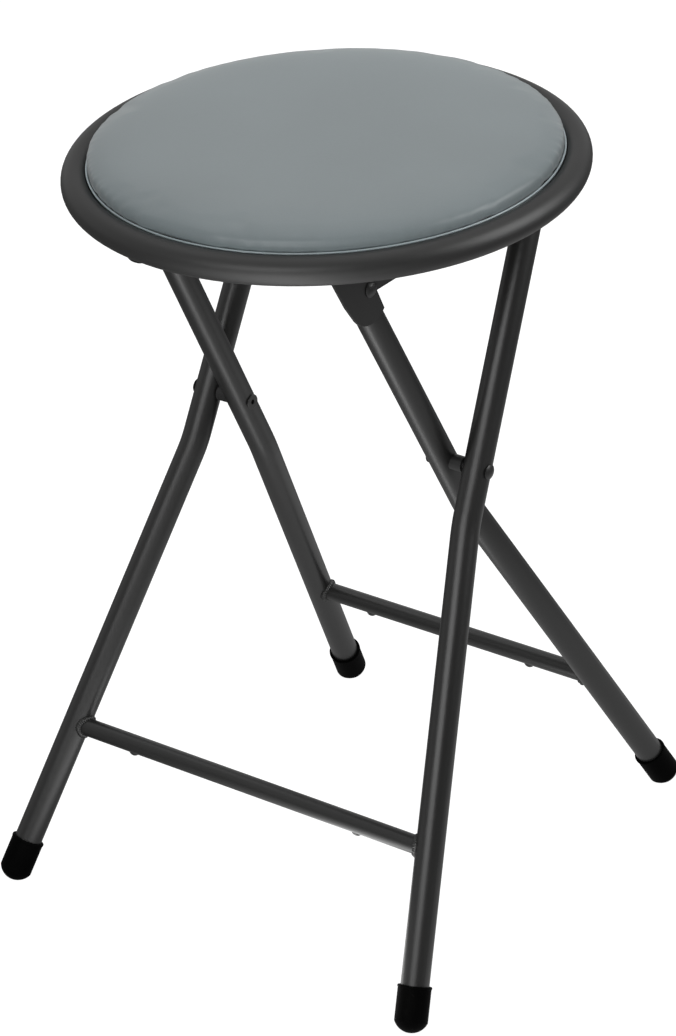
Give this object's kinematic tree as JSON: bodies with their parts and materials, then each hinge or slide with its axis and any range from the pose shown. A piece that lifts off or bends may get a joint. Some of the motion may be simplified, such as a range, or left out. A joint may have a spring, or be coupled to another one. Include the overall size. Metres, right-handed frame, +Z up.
{
  "type": "folding stool",
  "caption": "Folding stool: a round padded seat in a tube rim on two crossed pairs of bent tube legs that fold flat about side pivots.",
  "frame": {"origin": "on the floor, at the centre of the object's bounding box in plan", "axes": "+Z up, X along the fold's pivots, Y from the outer frame's feet in front to the inner frame's feet behind"},
  "size_m": [0.316, 0.3182, 0.4636],
  "materials": {
    "painted_tube": "satin",
    "cover": "satin",
    "board": "matte",
    "foot": "matte",
    "plug": "matte",
    "bush": "matte",
    "rivet": "satin",
    "rod": "satin",
    "fastener": "satin"
  },
  "bodies": {
    "inner_frame": {"inner_leg_left": "painted_tube", "inner_leg_right": "painted_tube", "inner_stretcher": "painted_tube", "inner_stretcher_studs": "painted_tube", "inner_leg_plug_left": "plug", "inner_leg_plug_right": "plug", "inner_foot_cap_left": "foot", "inner_foot_cap_right": "foot", "pivot_rivet_left": "rivet", "pivot_rivet_right": "rivet", "pivot_spacer_left": "bush", "pivot_spacer_right": "bush"},
    "outer_frame": {"outer_leg_left": "painted_tube", "outer_leg_right": "painted_tube", "outer_stretcher": "painted_tube", "outer_stretcher_studs": "painted_tube", "outer_leg_plug_left": "plug", "outer_leg_plug_right": "plug", "outer_foot_cap_left": "foot", "outer_foot_cap_right": "foot", "cross_rod": "rod", "rod_washer_left": "bush", "rod_washer_right": "bush"},
    "seat": {"seat_rim": "painted_tube", "seat_board": "board", "seat_cushion": "cover", "seat_rail_left": "painted_tube", "seat_rail_right": "painted_tube", "board_screws": "fastener", "hinge_rivet_left": "rivet", "hinge_rivet_right": "rivet", "hinge_washer_left": "bush", "hinge_washer_right": "bush"}
  },
  "joints": [
    {"name": "leg_fold", "type": "hinge", "parent": "inner_frame", "child": "outer_frame", "pos_m": [0, 0.00438, 0.27556], "axis": [1, 0, 0], "range_deg": [0, 50]},
    {"name": "seat_hinge", "type": "hinge", "parent": "inner_frame", "child": "seat", "pos_m": [0, -0.0619, 0.412], "axis": [1, 0, 0], "range_deg": [0, 116]}
  ],
  "couplings": [
    {"joint": "seat_hinge", "follows": "leg_fold", "ratio": 2.32}
  ]
}
